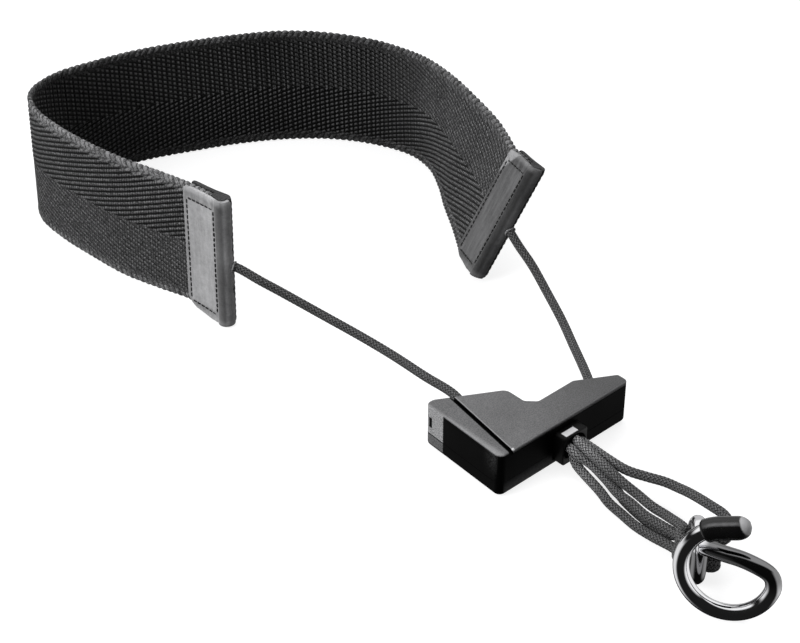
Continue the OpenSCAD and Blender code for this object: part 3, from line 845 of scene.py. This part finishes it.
def bisected(obj, shift, keep_right):
    """Keeps the part to one side of a line along the groove, closed again, its edge softened."""
    at = groove_front + shift * groove_across
    normal = Vector((groove_across.x, groove_across.y, 0)) * (-1 if keep_right else 1)
    with edited(obj) as bm:
        cutting = bmesh.ops.bisect_plane(
            bm, geom=bm.verts[:] + bm.edges[:] + bm.faces[:], plane_co=(at.x * MM, at.y * MM, 0),
            plane_no=normal, clear_outer=True)
        edges = [g for g in cutting["geom_cut"] if isinstance(g, bmesh.types.BMEdge)]
        bmesh.ops.contextual_create(bm, geom=edges)
        rim = [e for e in edges
               if e.is_valid and all(v.co.z > (SLIDER_H - 0.01) * MM for v in e.verts)]
        bmesh.ops.bevel(bm, geom=rim, offset=0.22 * MM, segments=3, affect="EDGES", profile=0.5)
        bmesh.ops.recalc_face_normals(bm, faces=bm.faces)
    return obj


left_cap = bisected(plan_skin("slider_left_cap", [(ROOF - 0.02, 0)] + brow, SHELL),
                    -GROOVE_W / 2, False)
cover = bisected(plan_skin("slider_cover_plate", [(ROOF + 0.05, 0.18), (ROOF + 0.18, 0.03)] + brow,
                           COVER), GROOVE_W / 2, True)


def block(name, low, high, mat=None):
    verts = [(x, y, z) for z in (low[2], high[2]) for y in (low[1], high[1])
             for x in (low[0], high[0])]
    faces = [(0, 2, 3, 1), (4, 5, 7, 6), (0, 1, 5, 4), (2, 6, 7, 3), (0, 4, 6, 2), (1, 3, 7, 5)]
    return piece(name, verts, faces, mat or SHELL, smooth=False)


def rod(name, a, b, r, sides=32, mat=None, r2=None):
    """A closed cone or cylinder from a to b."""
    a, b = Vector(a), Vector(b)
    verts, faces, uvs = tube_mesh([a, b], lambda i: (r, r if r2 is None else r2)[i], sides,
                                  side=(b - a).normalized().orthogonal())
    return flip_out(weld(piece(name, verts, faces, mat or SHELL)))


def entry_tools():
    tools = []
    for at, way in ((LEFT_ENTRY, Vector((-0.4, -7.6, 0))), (RIGHT_ENTRY, Vector((-4.5, -3.9, 0)))):
        way = way.normalized() * 6
        tools.append(rod("tool", Vector(at) - way, Vector(at) + way, CORD_D / 2 + 0.15))
    return tools


for shell in (low_shell, high_shell):
    tools = entry_tools() + [block("tool", (-NOZZLE_X, FRONT - 1, NOZZLE_LOW),
                                   (NOZZLE_X, FRONT + WALL + 0.01, NOZZLE_HIGH))]
    if shell is low_shell:
        tools += [rod("tool", (x, y, -1), (x, y, 1.2), 1.7) for x, y in SCREWS]
    cut(shell, *tools)
    sharpen(shell, 30)
high = joined("slider_high_shell", [high_shell, left_cap], "shell")
sharpen(high, 30)
sharpen(cover, 30)
for obj, node in ((low_shell, "slider_lower_shell"), (high, "slider_upper_shell"),
                  (cover, "slider_cover")):
    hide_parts(node)
    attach(obj, "slider")


def nozzle_piece():
    body = block("outlet", (-NOZZLE_X, FRONT - NOZZLE_OUT, NOZZLE_LOW),
                 (NOZZLE_X, FRONT + WALL, NOZZLE_HIGH), NOZZLE)
    with edited(body) as bm:
        sides = [e for e in bm.edges if abs(e.verts[0].co.y - e.verts[1].co.y) > 1 * MM]
        bmesh.ops.bevel(bm, geom=sides, offset=1.0 * MM, segments=4, affect="EDGES", profile=0.5)
        rim = [e for e in bm.edges if all(v.co.y < (FRONT - 4.4) * MM for v in e.verts)]
        bmesh.ops.bevel(bm, geom=rim, offset=0.3 * MM, segments=2, affect="EDGES", profile=0.5)
    cut(body, rod("tool", (0, FRONT - 6, BORE_Z), (0, FRONT + WALL + 1, BORE_Z), BORE_R, 48),
        rod("tool", (0, FRONT - 5, BORE_Z), (0, FRONT - 4, BORE_Z), BORE_R + 1, 48, r2=BORE_R))
    sharpen(body, 40)
    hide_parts("outlet_nozzle")
    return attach(body, "slider")


nozzle_piece()


# ---- leather tabs ---------------------------------------------------------------------

def leather_material(side, low, high):
    s = Skin(side + "_tab_leather")
    x, v = s.uv()
    grain = s.noise(500.0, 4.0, 0.65)
    fine = s.noise(1900.0, 2.0)
    broad = s.noise(60.0, 3.0)
    inside = (x.ramp(2.0, 2.6) * x.ramp(15.5, 15.9, 1.0, 0.0)
              * v.ramp(2.3, 2.8) * v.ramp(45.0, 45.5, 1.0, 0.0))
    # paler along the leaf's top, open and bottom edges
    painted_reflection_and_pale_edges = v.ramp(47.4, 49.6) * x.ramp(19.0, 21.0, 1.0, 0.0)
    painted_reflection_and_pale_edges = painted_reflection_and_pale_edges.most(x.ramp(0.9, 0.1)).most(v.ramp(1.2, -1.0) * 0.6)
    tone = (grain * 0.35 + fine * 0.2 + broad * 0.5).ramp(0.3, 0.8)
    # painted shade on the roll round the stopper, which turns away from the light (x0.34 below)
    roll = x.ramp(15.9, 17.4) * x.ramp(20.6, 19.6)
    smear = s.noise(1.0, 3.0, 0.6, at=[x * 0.5, v * 0.06, x * 0.0]).ramp(0.4, 0.65)
    # painted highlight: a light line along the roll's edge, used on the right leaf
    painted_ridge_highlight = x.ramp(15.9, 16.3) * x.ramp(17.2, 16.7) * smear.ramp(0.1, 0.6)
    shade = tone * 0.4 + inside * 0.16 + smear * (0.1 if side == "left" else 0.25) + 0.22
    shade = shade * (1.0 - roll * 0.66)
    # right leaf: painted shade (x0.45), with a painted light patch on its upper open corner and the painted
    # ridge highlight
    if side == "right":
        corner = (x + (50.0 - v) * 0.6).ramp(7.6, 6.4) * tone.ramp(0.1, 0.9, 0.45, 1.0)
        shade = shade * 0.45 + corner + painted_ridge_highlight * 0.5
    shade = shade + painted_reflection_and_pale_edges * 0.3
    return s.done(s.mix(shade, low, high), rough=broad.ramp(0.3, 0.7, 0.42, 0.58),
                  height=grain * 0.7 + fine * 0.3, depth=0.0002, specular=0.4)


def thread_material():
    s = Skin("waxed_thread")
    u, v = s.uv()
    twist = ((u * 2.0 + v * 2.2) * 2 * math.pi).sin() * 0.5 + 0.5
    return s.done(s.mix(twist, 0.004, 0.02), rough=0.5, height=twist, depth=0.0001)


def fray_material():
    s = Skin("frayed_rim")
    fuzz = s.noise(2500.0, 3.0, 0.7)
    return s.done(s.mix(fuzz.ramp(0.3, 0.7), 0.12, 0.4), rough=0.7, height=fuzz, depth=0.0003)


# The right leather is the left one with painted shade: darker colours on its face, which is turned from the
# light.
LEATHER = {"left": leather_material("left", 0.03, 0.66),
           "right": leather_material("right", 0.012, 0.37)}
THREAD, FRAY = thread_material(), fray_material()
LEATHER_T, FLARE, FOLD_R, HOLE = 1.3, 2.0, 3.3, 23.0


class Tab:
    """A place on a tab: x from its open edge to the fold, v up and h out of its face."""

    def __init__(self, side, edge, fold, route):
        self.side, self.edge, self.fold, self.route = side, edge, fold, route
        self.length = tab_length(edge, fold)
        self.ahead = (middle(fold) - middle(edge)).normalized()
        self.up = rise(fold)
        self.out = self.ahead.cross(self.up)

    def at(self, x, v, h):
        t = x / self.length
        foot = Vector(self.edge[:3]) * (1 - t) + Vector(self.fold[:3]) * t
        return foot + self.up * v + self.out * h

    def low(self, x):
        """Height of the tab's lower edge, with its open corner cut off."""
        span = self.length - 1.6 * FOLD_R
        if x < 3:
            return 3.0 - x
        return -FLARE * min(1.0, (x - 3) / (span - 3))

    def high(self, x):
        corner = 1.6 - x
        drop = 1.6 - math.sqrt(max(0.0, 1.6 ** 2 - corner ** 2)) if corner > 0 else 0.0
        return WEB_W - 0.15 - drop

    def swept(self, name, profile, rows, mat, low=None, high=None, wave=None, rounding=0.35):
        """A closed outline of (x, h) points carried up the tab, with soft top and bottom edges."""
        low, high = low or self.low, high or self.high
        n = len(profile)
        cx = sum(p[0] for p in profile) / n
        ch = sum(p[1] for p in profile) / n
        verts, uvs, faces = [], [], []
        levels = [0.0, 0.12, 0.35, 0.7, 1.2]
        for r in range(rows + 1):
            for x, h in profile:
                lo, hi = low(x), high(x)
                if r < len(levels):
                    v, pull = lo + levels[r], 1 - levels[r] / levels[-1]
                elif r > rows - len(levels):
                    v, pull = hi - levels[rows - r], 1 - levels[rows - r] / levels[-1]
                else:
                    t = (r - len(levels) + 1) / (rows - 2 * len(levels) + 2)
                    v, pull = lo + levels[-1] + (hi - lo - 2 * levels[-1]) * t, 0.0
                pull = rounding * pull * pull
                side = Vector((x - cx, h - ch))
                reach = side.length or 1.0
                xx, hh = x - side.x / reach * pull, h - side.y / reach * pull
                if wave:
                    xx, hh = wave(xx, hh, v)
                verts.append(self.at(xx, v, hh))
                uvs.append((x, v))
        faces = quads(rows + 1, n)
        faces.append(tuple(range(n))[::-1])
        faces.append(tuple(range(rows * n, (rows + 1) * n)))
        obj = flip_out(piece(self.side + "_" + name, verts, faces, mat, uvs))
        sharpen(obj, 48)
        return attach(obj, "neck_band")


def tab_pieces(side, edge, fold, route):
    tab = Tab(side, edge, fold, route)
    L, R = tab.length, FOLD_R
    inner, outer = WEB_T / 2 + 0.05, WEB_T / 2 + LEATHER_T
    # the leaf on the outer face and the roll round the cord's stopper
    profile = [(0.5, inner), (0.12, inner + 0.25), (0.02, inner + 0.65), (0.15, outer - 0.3),
               (0.6, outer - 0.04)]
    profile += [(x, outer + 0.05 * math.sin(x * 0.6)) for x in (2, 4, 6, 8, 10, 12)]
    profile += [(13.4, outer + 0.12), (14.6, outer + 0.25), (15.3, outer + 0.22), (15.8, outer + 0.1),
                (16.2, outer + 0.32), (16.8, outer + 0.72), (L - 0.4, R - 0.04)]
    last = -22 if side == "left" else -14
    profile += [(L + R * math.sin(math.radians(90 - a)), R * math.sin(math.radians(a)))
                for a in (80, 70, 60, 50, 40, 30, 20, 10, 0, -11, last)]
    r = R - LEATHER_T
    profile += [(L + r * math.cos(math.radians(a)), r * math.sin(math.radians(a)))
                for a in (last, 0, 20, 40, 60, 80)]
    profile += [(L - 1.2, r - 0.2), (L - 3.4, inner + 0.1), (10, inner), (5, inner)]

    def rolled(x, h, v):
        soft = 0.10 * math.sin(v * 0.31 + 1.0) + 0.06 * math.sin(v * 0.83)
        return (x + soft, h) if x > L + 1 else (x, h + (0.5 * soft if x > 15.5 else 0.0))

    leaf = tab.swept("leather", profile, 46, LEATHER[side], wave=rolled)
    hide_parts(side + "_tab")
    # the webbing doubled back behind it
    q = R - 0.12
    back = [(L + q * math.cos(math.radians(a)), q * math.sin(math.radians(a)))
            for a in (-14, -24, -36, -48, -60, -75, -90)]
    back += [(L - 2, -R + 0.2), (12, -2.75), (8, -2.45), (4, -2.3), (2.0, -2.25), (1.3, -2.0),
             (1.1, -1.5), (1.3, -1.05), (4, -1.02), (8, -1.02), (13.2, -1.02), (13.4, 0.9),
             (L - 2.6, 1.3), (L - 0.8, 1.75), (L + 0.6, 1.75), (L + 1.5, 1.15), (L + 1.9, 0),
             (L + 1.8, -0.8)]

    def woven(x, h, v):
        if h > -1.2:
            return x, h
        tooth = abs(math.sin(math.pi * (v / 2.5 + x * 0.12)))
        return x + (0.2 * tooth - 0.1 if x > L + 1 else 0.0), h - 0.16 * tooth

    tab.swept("doubled_webbing", back, 150, WEB_BACK,
              low=lambda x: max(tab.low(x) + 0.4, -1.7), high=lambda x: WEB_W + 0.15,
              wave=woven, rounding=0.5)
    stitches(tab)
    # the rim of the cord's hole
    mouth = Vector(fold[:3]) + tab.up * HOLE
    way = (Vector(route[1]) - mouth).normalized()
    ring = mouth + way * (R + 0.05)
    a = way.orthogonal().normalized()
    b = way.cross(a)
    loop = []
    for t in (2 * math.pi * k / 40 for k in range(40)):
        r = 1.85 + 0.10 * math.sin(3 * t) + 0.06 * math.sin(7 * t + 1)
        loop.append(ring + r * (math.cos(t) * a + math.sin(t) * b))
    verts, faces, uvs = tube_mesh(loop, lambda i: 0.34 + 0.1 * math.sin(i * 1.7), 10, side=way,
                                  closed=True)
    rim = flip_out(piece(side + "_hole_rim", verts, faces, FRAY, uvs))
    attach(rim, "neck_band")


def stitches(tab):
    """Sunk threads along the leaf: beside the roll, along the open edge and across the ends."""
    outer = WEB_T / 2 + LEATHER_T
    runs = [((15.5, 45.0), (15.5, 2.4)), ((2.2, 45.0), (2.2, 3.4)),
            ((2.6, 45.4), (15.2, 45.4)), ((2.8, 2.4), (15.0, 1.4))]
    verts, faces, uvs = [], [], []
    for (x0, v0), (x1, v1) in runs:
        span = math.dist((x0, v0), (x1, v1))
        count = round(span / 2.15)
        for i in range(count):
            t0, t1 = (i + 0.16) / count, (i + 0.84) / count
            pts = []
            for j in range(7):
                t = t0 + (t1 - t0) * j / 6
                x, v = x0 + (x1 - x0) * t, v0 + (v1 - v0) * t
                lift = 0.20 * math.sin(math.pi * j / 6) - 0.08
                pts.append(tab.at(x, v, outer + (0.16 if x > 14.5 else 0.03) + lift))
            vs, fs, us = tube_mesh(pts, 0.27, 8, side=tab.out)
            n = len(verts)
            verts += vs
            uvs += us
            faces += [tuple(k + n for k in f) for f in fs]
    obj = flip_out(piece(tab.side + "_stitching", verts, faces, THREAD, uvs))
    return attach(obj, "neck_band")


def back_webbing_material():
    s = Skin("doubled_webbing_weave")
    x, v = s.uv()
    rib = ((v * 0.4 + x * 0.12) * math.pi).sin().abs()
    pick = (x / PICK * math.pi).sin().abs()
    fuzz = s.noise(1900.0, 3.0, 0.7)
    height = rib * 0.6 + pick * 0.3 + fuzz * 0.5
    tone = rib.ramp(0.2, 0.95) * (pick * 0.4 + 0.6) * fuzz.ramp(0.35, 0.65, 0.3, 1.3)
    tone = tone.most(v.ramp(49.6, 49.9) * fuzz.ramp(0.4, 0.6, 0.6, 2.2))
    return s.done(s.mix(tone, 0.003, 0.07), rough=0.8, height=height, depth=0.0006, specular=0.15)


WEB_BACK = back_webbing_material()
tab_pieces("left", LEFT_EDGE, LEFT_FOLD, left_neck)
tab_pieces("right", RIGHT_EDGE, RIGHT_FOLD, right_neck)


# ---- the hook -------------------------------------------------------------------------

WIRE_D, WIRE_SIDES, RING_R, EYE_W, EYE_H, SLEEVE_D = 5.0, 32, 14.0, 10.0, 18.0, 7.2
LEAN = math.radians(11.4)
TIP_ANGLE, TIP_LEN, SLEEVE_BACK = 108.0, 7.0, 19.0
HOOK = Matrix.Translation(Vector((-19.2, -88.9, 0))) @ Matrix.Rotation(math.radians(-62.5), 4, "Z")
RING_MID = Vector((0, RING_R * math.sin(LEAN), WIRE_D / 2 + RING_R * math.cos(LEAN)))


def ring_point(deg):
    c, s = math.cos(math.radians(deg)), math.sin(math.radians(deg))
    return RING_MID + RING_R * Vector((c, s * math.sin(LEAN), s * math.cos(LEAN)))


tip_start = ring_point(TIP_ANGLE)
tip_turn = math.radians(TIP_ANGLE)
tip_way = (Vector((math.sin(tip_turn), -math.cos(tip_turn) * math.sin(LEAN),
                   -math.cos(tip_turn) * math.cos(LEAN))) + Vector((0, 0, -0.05))).normalized()
eye_near = Vector((-9.8, 9.2, 0))
eye_way = Vector((math.cos(math.radians(110)), math.sin(math.radians(110)), 0))
throat = Vector((eye_near.x, eye_near.y, WIRE_D / 2 + EYE_H - 3))
throat_points = [throat, throat + Vector((7, -2.2, 1.2)), throat + Vector((13, -4, 2.2)),
                 Vector((8.2, 3.9, 19.5)), Vector((11.4, 3.4, 18.5)), Vector((13.2, 3, 16.8))]
ring_points = [ring_point(-9 * k) for k in range(1, 29)]


def chrome_material():
    s = Skin("hook_chrome")
    u, v = s.uv()
    scuff = s.noise(240.0, 3.0)
    # painted dark reflection: the base colour is darkened 1 to 31 mm along the wire from the eye, and on the
    # eye's lower part
    painted_dark_reflection = v.ramp(1.0, 4.0) * v.ramp(31.0, 25.0)
    return s.done(s.mix(painted_dark_reflection, 0.85, 0.22), rough=scuff.ramp(0.4, 0.8, 0.05, 0.1), metal=1.0,
                  height=scuff, depth=0.00001)


CHROME = chrome_material()


def eye_line():
    """The eye's middle line: up and over its top, down its far bar, round below and up again."""
    def at(across, z):
        return HOOK @ (eye_near + eye_way * across + Vector((0, 0, z)))

    half, low, high = EYE_W / 2, WIRE_D / 2 + EYE_W / 2, WIRE_D / 2 + EYE_H - EYE_W / 2
    arc = [math.pi * k / 24 for k in range(24)]
    bar = [(high - low) * k / 6 for k in range(6)]
    return ([at(half + half * math.cos(math.pi - t), high + half * math.sin(math.pi - t)) for t in arc]
            + [at(EYE_W, high - d) for d in bar]
            + [at(half + half * math.cos(-t), low + half * math.sin(-t)) for t in arc]
            + [at(0, low + d) for d in bar])


def hook_piece():
    raw = [list(p) for p in throat_points + ring_points]
    raw += [list(tip_start + tip_way * t) for t in (2.5, 5.5, TIP_LEN)]
    line, _ = resample(catmull(raw, 6), 0.9)
    line = [HOOK @ Vector(p) for p in line]
    verts, faces, uvs = tube_mesh(line, WIRE_D / 2, WIRE_SIDES)
    wire = weld(piece("hook_body", verts, faces, CHROME, uvs))
    across = HOOK.to_3x3() @ Vector((-eye_way.y, eye_way.x, 0))
    verts, faces, _ = tube_mesh(eye_line(), WIRE_D / 2, WIRE_SIDES, side=across, closed=True)
    # these uvs put the eye's part below 17 mm, and wholly below 13 mm, under the chrome's painted dark
    # reflection
    uvs = [(0.0, 15 * min(1.0, max(0.0, (17.0 - v.z) / 4))) for v in verts]
    eye = flip_out(piece("hook_eye", verts, faces, CHROME, uvs))
    obj = joined("hook_chrome_wire", [flip_out(wire), eye], "hook")
    for poly in obj.data.polygons:
        poly.use_smooth = True
    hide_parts("hook_wire")
    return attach(obj, "hook")


hook_piece()


def sleeve_material(length):
    s = Skin("sleeve_plastic")
    u, v = s.uv()
    soft = s.noise(300.0, 3.0)
    round_it = (u * 2 * math.pi).cos()
    # painted highlight: two pale stripes along the sleeve, about 30 degrees either side of u = 0
    sheen = round_it.ramp(0.72, 0.84) * round_it.ramp(0.97, 0.86) * v.ramp(0.5, 3.0)
    sheen = sheen * soft.ramp(0.3, 0.7, 0.5, 1.0)
    pale = (v + (u * 2 * math.pi + 1.57).sin() * 1.5).ramp(length - 1.7, length - 1.1)
    return s.done(s.mix(pale.most(sheen * 0.3), 0.004, 0.4), rough=soft.ramp(0.3, 0.7, 0.2, 0.3),
                  height=soft, depth=0.00006)


def sleeve_piece():
    raw = [ring_point(TIP_ANGLE + SLEEVE_BACK * (1 - k / 8)) for k in range(9)]
    raw += [tip_start + tip_way * t for t in (2, 4, 6, 8, 9.5)]
    line, length = resample([list(p) for p in raw], 0.5)
    line = [HOOK @ Vector(p) for p in line]
    n = len(line)

    def radius(i):
        left = (n - 1 - i) * length / (n - 1)
        start = i * length / (n - 1)
        r = SLEEVE_D / 2
        if left < 4.2:
            r -= 3.1 * (1 - math.sqrt(max(0.0, 1 - (1 - left / 4.2) ** 2)))
        if start < 0.4:
            r -= 0.4 - math.sqrt(max(0.0, 0.4 ** 2 - (0.4 - start) ** 2))
        return r

    verts, faces, uvs = tube_mesh(line, radius, 32)
    obj = flip_out(weld(piece("tip_sleeve", verts, faces, sleeve_material(length), uvs)))
    sharpen(obj, 50)
    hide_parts("hook_sleeve")
    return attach(obj, "hook")


sleeve_piece()


# ---- finishes on the solids that stay -------------------------------------------------

def steel_material():
    s = Skin("turned_steel")
    lines = (s.where()[2] * 9.0).sin() * 0.5 + 0.5
    return s.done(s.mix(lines, 0.35, 0.5), rough=0.35, metal=1.0, height=lines, depth=0.00002)


def dress(nodes, mat):
    """One finish on all the solids of the nodes."""
    for obj in bpy.data.objects:
        if obj.type == "MESH" and obj.name.startswith(nodes):
            for slot in obj.material_slots:
                slot.material = mat


dress(("guide_posts", "shell_screws"), steel_material())
dress(("inner_cord_runs", "inner_stoppers", "left_tab_stopper", "right_tab_stopper"),
      plastic("melted_cord", 0.02, 0.6, 0.0001))


# ---- floor and surroundings -----------------------------------------------------------

def floor_piece():
    s = Skin("studio_floor")
    mat = s.done(0.35, rough=0.9, specular=0.0)
    s.bsdf.inputs["Emission Color"].default_value = (1, 1, 1, 1)
    s.bsdf.inputs["Emission Strength"].default_value = 0.82
    reach = 4000
    corners = [(x * reach, y * reach, -0.3) for x, y in ((-1, -1), (1, -1), (1, 1), (-1, 1))]
    obj = piece("floor", corners, [(0, 1, 2, 3)], mat)
    obj.visible_glossy = False
    obj.visible_diffuse = False
    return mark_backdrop(obj)


floor_piece()


def surroundings():
    """White for the camera; for the rest, light from the left, the top and the far side."""
    world = bpy.data.worlds.new("studio")
    SC.world = world
    world.use_nodes = True
    tree = world.node_tree
    tree.nodes.clear()
    out = tree.nodes.new("ShaderNodeOutputWorld")
    path = tree.nodes.new("ShaderNodeLightPath")
    coord = tree.nodes.new("ShaderNodeTexCoord")
    parts = tree.nodes.new("ShaderNodeSeparateXYZ")
    tree.links.new(coord.outputs["Generated"], parts.inputs[0])
    dx, dy, dz = (Val(tree, s) for s in parts.outputs)
    away = dx * 0.6756 + dy * 0.7373
    side = dx * 0.7373 - dy * 0.6756
    left = (side * -1.0).ramp(0.35, 0.8) * dz.ramp(-0.1, 0.25)
    low = (dz * -1.0).ramp(0.0, 0.5)
    right = side.ramp(0.42, 0.85, 0.0, 0.95) * away.ramp(0.7, 0.9, 1.0, 0.4) * dz.ramp(0.85, 0.6)
    rim = (side * -1.0).ramp(0.35, 0.7) * away.ramp(-0.55, -0.05) * dz.ramp(0.1, -0.1) * 0.8
    beyond = away.ramp(-0.3, -0.02) * dz.ramp(0.22, 0.42) * away.ramp(0.75, 0.95, 1.0, 0.35)
    edge = away.ramp(0.6, 0.9) * 0.55
    gloss = right.most(beyond).most(edge).most(rim) + 0.012
    soft = left * 0.62 + dz.ramp(0.0, 0.8) * 0.25 + low * 0.08 + 0.045

    def background(strength):
        node = tree.nodes.new("ShaderNodeBackground")
        node.inputs["Color"].default_value = (1, 1, 1, 1)
        if isinstance(strength, Val):
            tree.links.new(strength.socket, node.inputs["Strength"])
        else:
            node.inputs["Strength"].default_value = strength
        return node.outputs[0]

    def mixed(factor, a, b):
        node = tree.nodes.new("ShaderNodeMixShader")
        tree.links.new(factor, node.inputs[0])
        tree.links.new(a, node.inputs[1])
        tree.links.new(b, node.inputs[2])
        return node.outputs[0]

    lit = mixed(path.outputs["Is Glossy Ray"], background(soft), background(gloss))
    tree.links.new(mixed(path.outputs["Is Camera Ray"], lit, background(1.0)), out.inputs[0])


surroundings()
SC.view_settings.view_transform = "Standard"
